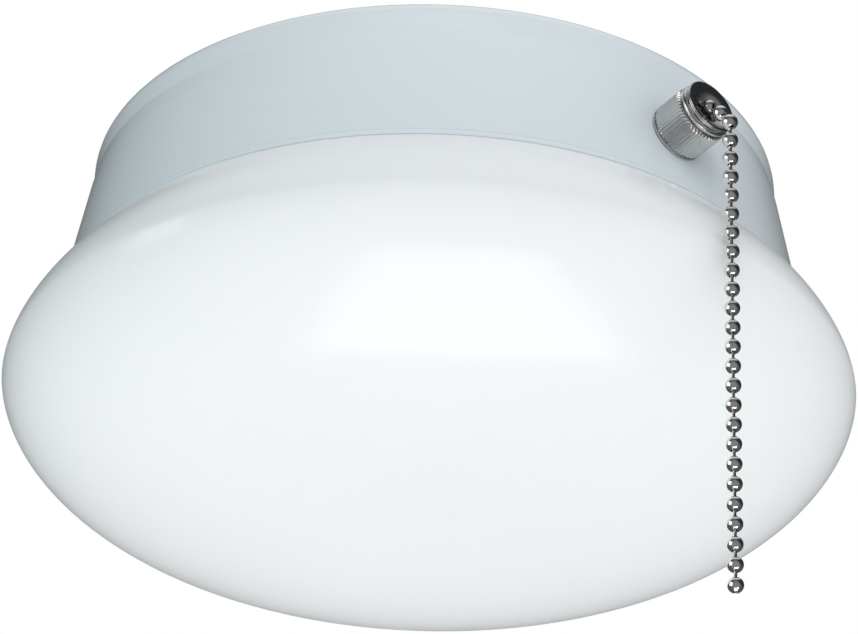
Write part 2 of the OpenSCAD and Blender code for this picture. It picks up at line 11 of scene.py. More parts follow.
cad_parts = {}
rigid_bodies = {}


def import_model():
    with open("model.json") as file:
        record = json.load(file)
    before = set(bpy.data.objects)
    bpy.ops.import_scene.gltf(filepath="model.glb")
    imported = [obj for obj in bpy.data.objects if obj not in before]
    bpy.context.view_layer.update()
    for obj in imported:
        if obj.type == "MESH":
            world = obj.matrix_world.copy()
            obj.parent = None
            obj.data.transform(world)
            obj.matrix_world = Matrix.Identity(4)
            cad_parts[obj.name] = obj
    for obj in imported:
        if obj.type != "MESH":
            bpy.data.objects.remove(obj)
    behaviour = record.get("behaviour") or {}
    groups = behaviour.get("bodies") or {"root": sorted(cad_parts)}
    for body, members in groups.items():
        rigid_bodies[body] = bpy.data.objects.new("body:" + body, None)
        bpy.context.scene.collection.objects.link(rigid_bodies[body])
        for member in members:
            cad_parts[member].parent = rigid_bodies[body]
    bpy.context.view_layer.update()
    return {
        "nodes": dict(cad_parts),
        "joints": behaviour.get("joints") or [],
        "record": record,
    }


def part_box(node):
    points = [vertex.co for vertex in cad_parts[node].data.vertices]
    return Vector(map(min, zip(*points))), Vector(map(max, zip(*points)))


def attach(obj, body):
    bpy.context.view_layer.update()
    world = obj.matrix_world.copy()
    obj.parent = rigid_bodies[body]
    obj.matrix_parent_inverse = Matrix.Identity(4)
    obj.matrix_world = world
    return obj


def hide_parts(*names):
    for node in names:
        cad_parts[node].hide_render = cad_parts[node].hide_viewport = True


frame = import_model()

MM = 0.001
Z_UP = Vector((0, 0, 1))
DOWN = Vector((0, 0, -1))
JOINT = {j["name"]: j for j in frame["joints"]}


# ------------------------------------------------------------------ places taken from the CAD

def joint_point(name):
    return Vector(JOINT[name]["pos_m"])


# The switch axis points out of the wall, and the chain slides along it.
OUT = Vector(JOINT["chain_pull"]["axis"]).normalized()
SIDE = Vector((1, 0, 0))
OVER = OUT.cross(SIDE)
FIRST_BEAD_X = 1.4 * MM
WALL_POINT = joint_point("link_bend_1") - OUT * FIRST_BEAD_X
TO_SWITCH = Matrix((
    (SIDE.x, OVER.x, OUT.x, WALL_POINT.x),
    (SIDE.y, OVER.y, OUT.y, WALL_POINT.y),
    (SIDE.z, OVER.z, OUT.z, WALL_POINT.z),
    (0, 0, 0, 1)))


# ------------------------------------------------------------------ camera

VIEW_AZIMUTH = -39.5
VIEW_ELEVATION = -29.7
VIEW_ROLL = 1.6
VIEW_DISTANCE = 0.9
FOCAL_LENGTH = 180.0
SENSOR_WIDTH = 36.0
AIM_POINT = Vector((0, 0, -0.048))
AIM_DROP = 0.01397


def add_camera():
    """Camera of the photograph. Returns its way back, right and up before it is rolled."""
    azimuth = math.radians(VIEW_AZIMUTH)
    tilt = math.radians(VIEW_ELEVATION)
    back = Vector((math.sin(azimuth) * math.cos(tilt), -math.cos(azimuth) * math.cos(tilt),
                   math.sin(tilt)))
    right = Z_UP.cross(back).normalized()
    up = back.cross(right)
    roll = math.radians(VIEW_ROLL)
    rolled_up = up * math.cos(roll) - right * math.sin(roll)
    rolled_right = right * math.cos(roll) + up * math.sin(roll)
    target = AIM_POINT + rolled_up * AIM_DROP
    data = bpy.data.cameras.new("photo_camera")
    data.lens = FOCAL_LENGTH
    data.sensor_width = SENSOR_WIDTH
    data.clip_start = 0.01
    data.clip_end = 50
    camera = bpy.data.objects.new("photo_camera", data)
    turn = Matrix((rolled_right, rolled_up, back)).transposed().to_4x4()
    camera.matrix_world = Matrix.Translation(target + back * VIEW_DISTANCE) @ turn
    bpy.context.collection.objects.link(camera)
    bpy.context.scene.camera = camera
    return back, right, up


BACK, RIGHT, UP = add_camera()


# ------------------------------------------------------------------ mesh helpers

SAME_POINT = 1e-8
ON_AXIS = 1e-7


def link_mesh(name, bm, matrix=None, sharp_deg=35.0):
    """Turns a bmesh into a smooth-shaded object with sharp edges above an angle."""
    bmesh.ops.remove_doubles(bm, verts=bm.verts, dist=SAME_POINT)
    bmesh.ops.recalc_face_normals(bm, faces=bm.faces)
    if matrix is not None:
        bmesh.ops.transform(bm, matrix=matrix, verts=bm.verts)
    mesh = bpy.data.meshes.new(name)
    bm.to_mesh(mesh)
    bm.free()
    for face in mesh.polygons:
        face.use_smooth = True
    mesh.set_sharp_from_angle(angle=math.radians(sharp_deg))
    obj = bpy.data.objects.new(name, mesh)
    bpy.context.collection.objects.link(obj)
    return obj


def rounded(corners, steps):
    """Profile with its corners rounded. Each corner is (radius, height, fillet), in mm."""
    edge_share = 0.49
    points = []
    count = len(corners)
    for i, (r, z, fillet) in enumerate(corners):
        here = Vector((r, z))
        if fillet <= 0:
            points.append(here)
            continue
        before = Vector(corners[i - 1][:2]) - here
        after = Vector(corners[(i + 1) % count][:2]) - here
        angle = before.angle(after)
        reach = min(fillet / math.tan(angle / 2), before.length * edge_share,
                    after.length * edge_share)
        start = here + before.normalized() * reach
        end = here + after.normalized() * reach
        for k in range(steps + 1):
            t = k / steps
            points.append(start * (1 - t) ** 2 + here * 2 * t * (1 - t) + end * t ** 2)
    return [(p.x * MM, p.y * MM) for p in points]


def lathe(bm, profile, segments, matrix=None, closed=True, wave=None):
    """Adds a turned shape to bm. wave(r, z, angle) may change the radius."""
    rings = []
    for r, z in profile:
        if r < ON_AXIS:
            rings.append([bm.verts.new((0, 0, z))])
            continue
        ring = []
        for k in range(segments):
            a = 2 * math.pi * k / segments
            here = wave(r, z, a) if wave else r
            ring.append(bm.verts.new((here * math.cos(a), here * math.sin(a), z)))
        rings.append(ring)
    pairs = list(zip(rings, rings[1:]))
    if closed:
        pairs.append((rings[-1], rings[0]))
    for low, high in pairs:
        for k in range(segments):
            k2 = (k + 1) % segments
            corners = [low[k % len(low)], low[k2 % len(low)],
                       high[k2 % len(high)], high[k % len(high)]]
            unique = list(dict.fromkeys(corners))
            if len(unique) > 2:
                bm.faces.new(unique)
    if matrix is not None:
        verts = [v for ring in rings for v in ring]
        bmesh.ops.transform(bm, matrix=matrix, verts=verts)


def turned(name, profile, segments, matrix=None, wave=None, sharp_deg=35.0):
    """Object turned from a closed profile."""
    bm = bmesh.new()
    lathe(bm, profile, segments, wave=wave)
    return link_mesh(name, bm, matrix, sharp_deg)


def arc(cx, cz, radius, a0, a1, steps):
    """Points of an arc between two angles, in degrees."""
    for k in range(steps + 1):
        a = math.radians(a0 + (a1 - a0) * k / steps)
        yield cx + radius * math.cos(a), cz + radius * math.sin(a)


def circle(cx, cy, radius, count):
    """Evenly spaced points of a whole circle."""
    return list(arc(cx, cy, radius, 0, 360 - 360 / count, count - 1))


def add_sector(bm, r_in, r_out, a0, a1, z0, z1):
    """Adds a block of a ring, in mm and degrees."""
    steps = 14
    rows = []
    for k in range(steps + 1):
        a = math.radians(a0 + (a1 - a0) * k / steps)
        rows.append([bm.verts.new((r * MM * math.cos(a), r * MM * math.sin(a), z * MM))
                     for r, z in ((r_in, z0), (r_out, z0), (r_out, z1), (r_in, z1))])
    for low, high in zip(rows, rows[1:]):
        for i in range(4):
            j = (i + 1) % 4
            bm.faces.new((low[i], low[j], high[j], high[i]))
    bm.faces.new(rows[0][::-1])
    bm.faces.new(rows[-1])


def pointing(direction, origin):
    """Matrix that puts local +Z along a direction."""
    turn = direction.normalized().to_track_quat("Z", "Y").to_matrix().to_4x4()
    return Matrix.Translation(origin) @ turn


# ------------------------------------------------------------------ materials

class Nodes:
    """Small helper round one material's node tree."""

    def __init__(self, name):
        self.mat = bpy.data.materials.new(name)
        self.mat.use_nodes = True
        self.tree = self.mat.node_tree
        self.shader = self.tree.nodes["Principled BSDF"]
        self.place = self.tree.nodes.new("ShaderNodeTexCoord").outputs["Object"]

    def node(self, kind, **inputs):
        n = self.tree.nodes.new(kind)
        for key, value in inputs.items():
            n.inputs[key.replace("_", " ")].default_value = value
        return n

    def link(self, a, b):
        self.tree.links.new(a, b)

    def noise(self, scale, detail=3.0, stretch=(1, 1, 1)):
        mapping = self.node("ShaderNodeMapping", Scale=stretch)
        self.link(self.place, mapping.inputs["Vector"])
        n = self.node("ShaderNodeTexNoise", Scale=scale, Detail=detail)
        self.link(mapping.outputs["Vector"], n.inputs["Vector"])
        return n.outputs["Fac"]

    def spread(self, value, low, high, to_low, to_high):
        n = self.tree.nodes.new("ShaderNodeMapRange")
        for key, number in (("From Min", low), ("From Max", high),
                            ("To Min", to_low), ("To Max", to_high)):
            n.inputs[key].default_value = number
        self.link(value, n.inputs["Value"])
        return n.outputs["Result"]

    def colour(self, value, dark, light):
        n = self.tree.nodes.new("ShaderNodeMix")
        n.data_type = "RGBA"
        n.inputs[6].default_value = (*dark, 1)
        n.inputs[7].default_value = (*light, 1)
        self.link(value, n.inputs[0])
        self.link(n.outputs[2], self.shader.inputs["Base Color"])

    def roughness(self, value, low, high):
        self.link(self.spread(value, 0.3, 0.7, low, high), self.shader.inputs["Roughness"])

    def bump(self, value, strength, distance):
        n = self.node("ShaderNodeBump", Strength=strength, Distance=distance)
        self.link(value, n.inputs["Height"])
        self.link(n.outputs["Normal"], self.shader.inputs["Normal"])

    def set(self, **inputs):
        for key, value in inputs.items():
            self.shader.inputs[key.replace("_", " ")].default_value = value


def tinted(rgb, factor):
    return tuple(min(1.0, c * factor) for c in rgb)


def finish_material(name, rgb, rough, metal=0.0, vary=0.04, grain=900.0, bump=0.0,
                    bump_scale=3000.0, stretch=(1, 1, 1), **sockets):
    """General finish: mottled colour, uneven gloss and a fine surface grain."""
    bump_height = 0.05 * MM
    n = Nodes(name)
    mottling = n.noise(grain, 4.0, stretch)
    n.colour(n.spread(mottling, 0.3, 0.7, 0, 1), tinted(rgb, 1 - vary), tinted(rgb, 1 + vary))
    n.roughness(n.noise(grain * 0.6, 3.0, stretch), rough * 0.85, rough * 1.15)
    n.set(Metallic=metal, **sockets)
    if bump:
        n.bump(n.noise(bump_scale, 2.0, stretch), bump, bump_height)
    return n.mat


def enamel_material():
    """White sprayed enamel: a clear gloss over a faint orange peel."""
    n = Nodes("white_enamel")
    cloud = n.noise(18, 3.0)
    n.colour(n.spread(cloud, 0.3, 0.7, 0, 1), (0.745, 0.815, 0.845), (0.765, 0.835, 0.865))
    n.roughness(n.noise(60, 2.0), 0.16, 0.22)
    n.set(Coat_Weight=0.6, Coat_Roughness=0.04, Coat_IOR=1.5, Specular_IOR_Level=0.5)
    n.bump(n.noise(420, 2.0), 0.05, 0.2 * MM)
    return n.mat


def opal_material():
    """Opal acrylic: white, lightly translucent, with a polished skin."""
    n = Nodes("opal_acrylic")
    cloud = n.noise(14, 2.0)
    n.colour(n.spread(cloud, 0.3, 0.7, 0, 1), (0.860, 0.888, 0.893), (0.875, 0.903, 0.908))
    n.roughness(n.noise(40, 2.0), 0.16, 0.20)
    n.set(IOR=1.49, Subsurface_Weight=0.25, Subsurface_Radius=(0.6, 0.7, 0.8),
          Subsurface_Scale=0.004, Specular_IOR_Level=0.5)
    return n.mat


def plated_material(name, rgb, rough):
    """Nickel plate: polished metal with hairlines and slightly duller patches."""
    wear = 0.25
    n = Nodes(name)
    n.colour(n.spread(n.noise(350, 4.0), 0.35, 0.7, 0, 1), tinted(rgb, 0.93), tinted(rgb, 1.03))
    n.roughness(n.noise(700, 4.0), rough * (1 - wear), rough * (1 + 2 * wear))
    n.bump(n.noise(2600, 2.0), 0.04, 0.02 * MM)
    n.set(Metallic=1.0)
    return n.mat


# General finishes, by the name of their slot in the record.
FINISHES = {
    "grommet_rubber": dict(rgb=(0.03, 0.03, 0.03), rough=0.6, bump=0.3),
    "zinc_steel": dict(rgb=(0.66, 0.68, 0.70), rough=0.32, metal=1.0, vary=0.10, grain=260,
                       bump=0.15, bump_scale=1800, stretch=(1, 4, 1)),
    "ring_steel": dict(rgb=(0.62, 0.63, 0.64), rough=0.28, metal=1.0, vary=0.06, grain=300,
                       bump=0.1, bump_scale=1500),
    "spring_steel": dict(rgb=(0.45, 0.46, 0.48), rough=0.25, metal=1.0, vary=0.08, grain=900),
    "green_screw": dict(rgb=(0.02, 0.22, 0.07), rough=0.3, metal=0.3, vary=0.15, grain=700,
                        Coat_Weight=0.4),
    "brass": dict(rgb=(0.72, 0.54, 0.24), rough=0.24, metal=1.0, vary=0.08, grain=500,
                  bump=0.1),
    "contact_brass": dict(rgb=(0.78, 0.58, 0.26), rough=0.2, metal=1.0, vary=0.1, grain=900),
    "aluminium": dict(rgb=(0.80, 0.81, 0.82), rough=0.35, metal=1.0, vary=0.05, grain=200,
                      bump=0.15, bump_scale=2200, stretch=(6, 1, 1)),
    "board_white": dict(rgb=(0.82, 0.83, 0.80), rough=0.25, vary=0.03, grain=600,
                        bump=0.1, bump_scale=2500, Coat_Weight=0.3),
    "phosphor": dict(rgb=(0.86, 0.66, 0.12), rough=0.3, vary=0.08, grain=1500),
    "chip_black": dict(rgb=(0.018, 0.018, 0.02), rough=0.5, vary=0.2, grain=2500, bump=0.3),
    "blue_ceramic": dict(rgb=(0.03, 0.09, 0.34), rough=0.3, vary=0.12, grain=900,
                         bump=0.2, Coat_Weight=0.3),
    "tan_ceramic": dict(rgb=(0.50, 0.36, 0.2), rough=0.4, vary=0.12, grain=900, bump=0.2),
    "capacitor_sleeve": dict(rgb=(0.02, 0.03, 0.12), rough=0.3, vary=0.15, grain=600,
                             Coat_Weight=0.4),
    "terminal_white": dict(rgb=(0.78, 0.77, 0.70), rough=0.35, vary=0.04, grain=800,
                           bump=0.15),
    "phenolic_brown": dict(rgb=(0.07, 0.03, 0.018), rough=0.38, vary=0.35, grain=900,
                           bump=0.25, Coat_Weight=0.2),
    "slide_nylon": dict(rgb=(0.66, 0.61, 0.48), rough=0.4, vary=0.06, grain=900, bump=0.2,
                        Subsurface_Weight=0.1, Subsurface_Scale=0.001),
    "rotor_nylon": dict(rgb=(0.74, 0.70, 0.60), rough=0.4, vary=0.06, grain=900, bump=0.2,
                        Subsurface_Weight=0.1, Subsurface_Scale=0.001),
    "lead_black": dict(rgb=(0.015, 0.015, 0.016), rough=0.42, vary=0.25, grain=1500,
                       bump=0.2, Coat_Weight=0.15),
}
MATS = {
    "white_enamel": enamel_material(),
    "opal_acrylic": opal_material(),
    "nickel_plate": plated_material("nickel_plate", (0.60, 0.595, 0.58), 0.07),
    "chain_steel": plated_material("chain_steel", (0.75, 0.74, 0.72), 0.06),
}
MATS.update((name, finish_material(name, **look)) for name, look in FINISHES.items())


def dress(obj, slot_name, body, *nodes):
    """Gives a new piece its finish, its body and the CAD nodes that it stands for."""
    obj.data.materials.clear()
    obj.data.materials.append(MATS[slot_name])
    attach(obj, body)
    if nodes:
        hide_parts(*nodes)
    return obj


def dress_cad_nodes():
    """Every CAD node takes the finish of its slot in the record."""
    for sub in frame["record"]["subparts"]:
        obj = frame["nodes"][sub["node"]]
        for slot in obj.material_slots:
            slot.material = MATS[sub["material_slot"]]


# ------------------------------------------------------------------ ball chain

BEAD_R = 1.6 * MM
PITCH = 4.25 * MM
BEAD_HOLE_R = 0.62 * MM
BEAD_SHELL = 0.22 * MM
LINK_R = 0.36 * MM
LINK_START = 1.25 * MM
FREE_LINK_START = 1.66 * MM
BEAD_SEGMENTS = 48
LINK_SEGMENTS = 20
# Bead 0 is where the chain first bends, and the four before it are inside the switch.
INNERMOST = -4
HANGING_BEADS = 25
FIRST_HANGING = 4
LAST_BEAD = FIRST_HANGING + HANGING_BEADS - 1
rng = random.Random(7)


def chain_points():
    """Bead centres by number."""
    points = {i: joint_point("link_bend_1") + OUT * PITCH * i for i in range(INNERMOST, 1)}
    points[1] = joint_point("link_bend_2")
    points[3] = joint_point("link_bend_3")
    points[4] = joint_point("link_bend_4")
    points[5] = joint_point("swing_side")
    points[6] = joint_point("swing_out")
    half = (points[3] - points[1]) / 2
    rise = math.sqrt(max(0.0, PITCH ** 2 - half.length ** 2))
    bow = Vector((0, -half.z, half.y)).normalized()
    if bow.z < 0:
        bow = -bow
    points[2] = points[1] + half + bow * rise
    for i in range(7, LAST_BEAD + 1):
        points[i] = points[i - 1] + DOWN * PITCH
    return points


CHAIN = chain_points()


def bead_profile():
    """Hollow ball with a rolled-in hole at each end."""
    points = []
    opening = math.asin(BEAD_HOLE_R / BEAD_R)
    rings = 18
    for k in range(rings + 1):
        a = opening + (math.pi - 2 * opening) * k / rings
        points.append((BEAD_R * math.sin(a), -BEAD_R * math.cos(a)))
    inner = BEAD_R - BEAD_SHELL
    lip = 0.12 * MM
    top = points[-1][1]
    points += [(BEAD_HOLE_R - lip * 0.6, top - lip * 0.4), (BEAD_HOLE_R - lip, top - lip * 1.6)]
    inside = 8
    low = math.asin((BEAD_HOLE_R + lip) / inner)
    for k in range(inside + 1):
        a = math.pi - low - (math.pi - 2 * low) * k / inside
        points.append((inner * math.sin(a), -inner * math.cos(a)))
    points += [(BEAD_HOLE_R - lip, -top + lip * 1.6), (BEAD_HOLE_R - lip * 0.6, -top + lip * 0.4)]
    return points


def add_bead(bm, centre, axis):
    """A bead has a fine lengthwise seam where its sheet closes."""
    seam = 0.03 * MM
    seam_ends = 0.9 * MM
    turn = rng.uniform(0, 2 * math.pi)

    def wave(r, z, a):
        return r - seam if a < 0.01 and r > seam_ends else r

    place = pointing(axis, centre) @ Matrix.Rotation(turn, 4, "Z")
    lathe(bm, bead_profile(), BEAD_SEGMENTS, place, wave=wave)


def add_link(bm, start, end, begin):
    """Dumbbell pin from one bead into the next, slimmest halfway."""
    axis = end - start
    length = axis.length
    finish = length - LINK_START
    head = 0.5 * MM
    foot = LINK_R * 1.15
    waist = LINK_R * 0.92
    profile = [(0, begin), (foot, begin), (LINK_R, begin + 0.12 * MM)]
    profile += [(waist, length / 2), (LINK_R, finish - 0.1 * MM)]
    profile += [(head, finish + 0.15 * MM), (head, finish + 0.45 * MM), (0, finish + 0.6 * MM)]
    lathe(bm, profile, LINK_SEGMENTS, pointing(axis, start), closed=False)


def bead_axis(i):
    """Way through a bead: halfway between the links on its two sides."""
    before = CHAIN[i] - CHAIN[i - 1] if i - 1 in CHAIN else None
    after = CHAIN[i + 1] - CHAIN[i] if i + 1 in CHAIN else None
    if before is None:
        return after
    if after is None:
        return before
    return before.normalized() + after.normalized()


def chain_piece(name, body, node, beads, links, free_link=None):
    """One rigid length of the chain. free_link is the pin that turns in the bead before."""
    fixed_link_start = LINK_START - 0.5 * MM
    bm = bmesh.new()
    for i in beads:
        add_bead(bm, CHAIN[i], bead_axis(i))
    for i in links:
        begin = FREE_LINK_START if i == free_link else fixed_link_start
        add_link(bm, CHAIN[i], CHAIN[i + 1], begin)
    obj = link_mesh(name, bm, sharp_deg=50)
    return dress(obj, "chain_steel", body, node)


def build_chain():
    chain_piece("beads_in_switch", "pull_body", "chain_run",
                range(INNERMOST, 1), range(INNERMOST, 0))
    turns = [
        chain_piece("beads_turn_1", "turn_1", "chain_turn_1", [1], [0], 0),
        chain_piece("beads_turn_2", "turn_2", "chain_turn_2", [2, 3], [1, 2], 1),
        chain_piece("beads_turn_3", "turn_3", "chain_turn_3", [4], [3], 3),
        chain_piece("beads_turn_4", "turn_4", "chain_turn_4", [5], [4], 4),
        chain_piece("beads_drop", "drop_body", "chain_drop", [6], [5], 5)]
    tail = chain_piece("hanging_chain", "tail_body", "chain_tail",
                       range(7, LAST_BEAD + 1), range(6, LAST_BEAD), 6)
    path = [CHAIN[6] + DOWN * BEAD_R]
    path += [CHAIN[i] for i in range(7, LAST_BEAD)]
    path += [CHAIN[LAST_BEAD] + DOWN * BEAD_R]


build_chain()


# ------------------------------------------------------------------ housing and lens

# The switch stands square to the sloped wall. Sizes here are in mm and turns in degrees.
WALL_SLOPE = math.degrees(math.asin(OUT.z))
WALL_TAN = math.tan(math.radians(WALL_SLOPE))
RIM_R = 72.9
STRAIGHT_H = 6.0
HOUSING_H = -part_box("housing")[0][2] / MM
RECESS_R = 49.2
RECESS_D = 5.0
SHEET = 0.8
PLATE_EDGE_R = RECESS_R - 0.6
NECK_HOLE_R = 4.95
LIP_H = 1.55
LIP_OUT = 0.33
SPUN_SEGMENTS = 320
KEYHOLE_ORBIT = 28.6
KEYHOLE_TURN = 16.0
KEYHOLE_ENTRY_R = 4.6
KEYHOLE_SLOT_R = 2.2
GROMMET_Y = 26.0
GROMMET_HOLE_R = 8.0
SCREW_ORBIT = 38.0
SCREW_HOLE_R = 1.7
SCREW_TURNS = (30, 150, 270)
PLATE_EDGE = 0.1


def wall_r(z):
    """Outside radius of the drum at a height: straight at the top, then widening."""
    return RIM_R + max(0.0, -z - STRAIGHT_H) * WALL_TAN


def cut_neck_hole(obj):
    """Cuts the round hole that the neck of the switch passes through."""
    bm = bmesh.new()
    reach = 4 * MM
    radius = NECK_HOLE_R * MM
    segments = 64
    profile = [(0, -reach), (radius, -reach), (radius, reach), (0, reach)]
    lathe(bm, profile, segments, TO_SWITCH, closed=False)
    cutter = link_mesh("neck_cutter", bm)
    cut = obj.modifiers.new("neck_hole", "BOOLEAN")
    cut.operation = "DIFFERENCE"
    cut.solver = "EXACT"
    cut.object = cutter
    bpy.context.view_layer.update()
    solid = obj.evaluated_get(bpy.context.evaluated_depsgraph_get())
    mesh = bpy.data.meshes.new_from_object(solid)
    obj.modifiers.clear()
    obj.data = mesh
    bpy.data.objects.remove(cutter)


def build_housing():
    """Spun drum: ceiling face, recess wall, sloped side and rolled lip, then its inside.

    The wall has a row of points every mm, so that the hole in it doesn't upset its shading.
    """
    lip_top = LIP_H - HOUSING_H
    groove = 0.14
    bend_z = -7
    rows = range(-11, -33, -1)
    corners = [
        (RECESS_R, -RECESS_D, 0.0), (RECESS_R, 0, 0.5), (RIM_R, 0, 3.4), (RIM_R, bend_z, 2.5),
        *[(wall_r(z), z, 0.0) for z in rows],
        (wall_r(lip_top) - 0.02, lip_top + 0.1, 0.1),
        (wall_r(lip_top) - groove, lip_top - 0.12, 0.08),
        (wall_r(lip_top) + LIP_OUT, lip_top - 0.3, 0.22),
        (wall_r(-HOUSING_H) + LIP_OUT, -HOUSING_H, 0.3),
        (wall_r(-HOUSING_H) - SHEET, -HOUSING_H, 0.15),
        *[(wall_r(z) - SHEET, z, 0.0) for z in reversed(rows)],
        (RIM_R - SHEET, bend_z, 2.0),
        (RIM_R - SHEET, -SHEET, 2.8), (RECESS_R + SHEET, -SHEET, 0.4),
        (RECESS_R + SHEET, -RECESS_D - SHEET, 0.5), (PLATE_EDGE_R, -RECESS_D - SHEET, 0.0),
        (PLATE_EDGE_R, -RECESS_D, 0.0)]
    shell = turned("housing_drum", rounded(corners, 8), SPUN_SEGMENTS)
    cut_neck_hole(shell)
    dress(shell, "white_enamel", "fixture", "housing")


def keyhole_outline(turn):
    """Arc slot for a screw shank that ends in a round entry for its head, in mm."""
    grip = math.degrees(math.asin(KEYHOLE_SLOT_R / KEYHOLE_ENTRY_R))
    reach = math.degrees(KEYHOLE_ENTRY_R * math.cos(math.radians(grip)) / KEYHOLE_ORBIT)
    slot_end = KEYHOLE_TURN - reach
    entry_a = math.radians(KEYHOLE_TURN)
    entry = (KEYHOLE_ORBIT * math.cos(entry_a), KEYHOLE_ORBIT * math.sin(entry_a))
    back = KEYHOLE_TURN - 90
    points = list(arc(KEYHOLE_ORBIT, 0, KEYHOLE_SLOT_R, -180, 0, 16))
    points += list(arc(0, 0, KEYHOLE_ORBIT + KEYHOLE_SLOT_R, 1, slot_end - 0.5, 5))
    points += list(arc(*entry, KEYHOLE_ENTRY_R, back + grip, back + 360 - grip, 40))
    points += list(arc(0, 0, KEYHOLE_ORBIT - KEYHOLE_SLOT_R, slot_end - 0.5, 1, 5))
    spin = Matrix.Rotation(math.radians(turn), 2)
    return [spin @ Vector(p) for p in points]


def punched_plate(name, outlines, z_low, z_high, edge):
    """Flat sheet with softened edges. The first outline is its rim, the others are holes."""
    curve = bpy.data.curves.new(name, "CURVE")
    curve.dimensions = "2D"
    curve.fill_mode = "BOTH"
    curve.extrude = (z_high - z_low) / 2 * MM - edge * MM
    curve.bevel_depth = edge * MM
    curve.bevel_resolution = 2
    curve.offset = -edge * MM
    for outline in outlines:
        spline = curve.splines.new("POLY")
        spline.points.add(len(outline) - 1)
        for point, (x, y) in zip(spline.points, outline):
            point.co = (x * MM, y * MM, 0, 1)
        spline.use_cyclic_u = True
    pattern = bpy.data.objects.new(name + "_pattern", curve)
    bpy.context.collection.objects.link(pattern)
    bpy.context.view_layer.update()
    solid = pattern.evaluated_get(bpy.context.evaluated_depsgraph_get())
    bm = bmesh.new()
    bm.from_mesh(solid.to_mesh())
    bpy.data.objects.remove(pattern)
    middle = Matrix.Translation((0, 0, (z_low + z_high) / 2 * MM))
    return link_mesh(name, bm, middle)


def build_canopy_plate():
    """Recessed floor of the housing with its keyholes, wire hole and standoff holes."""
    outlines = [circle(0, 0, PLATE_EDGE_R, 120), keyhole_outline(0), keyhole_outline(180)]
    outlines.append(circle(0, GROMMET_Y, GROMMET_HOLE_R, 60))
    for turn in SCREW_TURNS:
        a = math.radians(turn)
        x, y = SCREW_ORBIT * math.cos(a), SCREW_ORBIT * math.sin(a)
        outlines.append(circle(x, y, SCREW_HOLE_R, 24))
    plate = punched_plate("canopy_plate", outlines, -RECESS_D - SHEET, -RECESS_D, PLATE_EDGE)
    dress(plate, "white_enamel", "fixture", "housing")


LENS_R = (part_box("lens")[1][0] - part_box("lens")[0][0]) / 2 / MM
LENS_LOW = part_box("lens")[0][2] / MM
SHOULDER_R = 78.7
SEAM_GAP = 0.1
SHOULDER_Z = -HOUSING_H - SEAM_GAP
SHOULDER_H = 17.2
WIDEST_Z = SHOULDER_Z - SHOULDER_H
DOME_H = WIDEST_Z - LENS_LOW
LENS_T = 2.4
NECK_R = 74.2
NECK_H = 2.6
NECK_T = 2
NECK_TOP = NECK_H - HOUSING_H
NECK_FLOOR = SHOULDER_Z - 2.2
LUG_R = 76.0
LUG_LIFT = 0.85
LUG_LOW = LUG_LIFT - HOUSING_H
LUG_HALF_TURN = 7
LUG_ROOT = 0.5
SHOULDER_POWER = 1.57
SIDE_POWER = 0.61
DROP_POWER = 1.2


def lens_outline(inset):
    """Outline from the shoulder to the foot of the dome, in mm.

    The shoulder swells by a power curve, and the dome is a superellipse.
    """
    shoulder_steps = 24
    dome_steps = 72
    start = 0.5
    points = []
    for k in range(shoulder_steps + 1):
        t = k / shoulder_steps
        r = SHOULDER_R + (LENS_R - SHOULDER_R) * (1 - (1 - t) ** SHOULDER_POWER)
        points.append((r - inset, SHOULDER_Z - SHOULDER_H * t))
    for k in range(dome_steps):
        a = math.radians(start + (90 - start) * k / dome_steps)
        points.append(((LENS_R - inset) * math.cos(a) ** SIDE_POWER,
                       WIDEST_Z - (DOME_H - inset) * math.sin(a) ** DROP_POWER))
    points.append((0.0, LENS_LOW + inset))
    return points


def build_lens():
    """Hollow lens with its neck, and the three lugs that the ring's ears hold."""
    inside = [p for p in lens_outline(LENS_T) if p[1] < NECK_FLOOR]
    neck = [(NECK_R, NECK_TOP), (NECK_R, SHOULDER_Z + 0.05), (NECK_R + 0.3, SHOULDER_Z - 0.02)]
    back = [(NECK_R - NECK_T, NECK_FLOOR), (NECK_R - NECK_T, NECK_TOP)]
    profile = neck + lens_outline(0) + inside[::-1] + back
    bm = bmesh.new()
    lathe(bm, [(r * MM, z * MM) for r, z in profile], SPUN_SEGMENTS)
    for turn in (0, 120, 240):
        add_sector(bm, NECK_R - LUG_ROOT, LUG_R, turn - LUG_HALF_TURN, turn + LUG_HALF_TURN,
                   LUG_LOW, NECK_TOP)
    obj = link_mesh("lens_dome", bm)
    dress(obj, "opal_acrylic", "lens_body", "lens")


build_housing()
build_canopy_plate()
build_lens()


# ------------------------------------------------------------------ switch nut and bell mouth

NUT_R = 6.35
NUT_L = 8.0
NUT_RIBS = 48
NUT_GAP = 0.05
BORE_R = 2.0
MOUTH_X = 6.9
FLARE_R = 3.7
MOUTH_END = MOUTH_X + FLARE_R


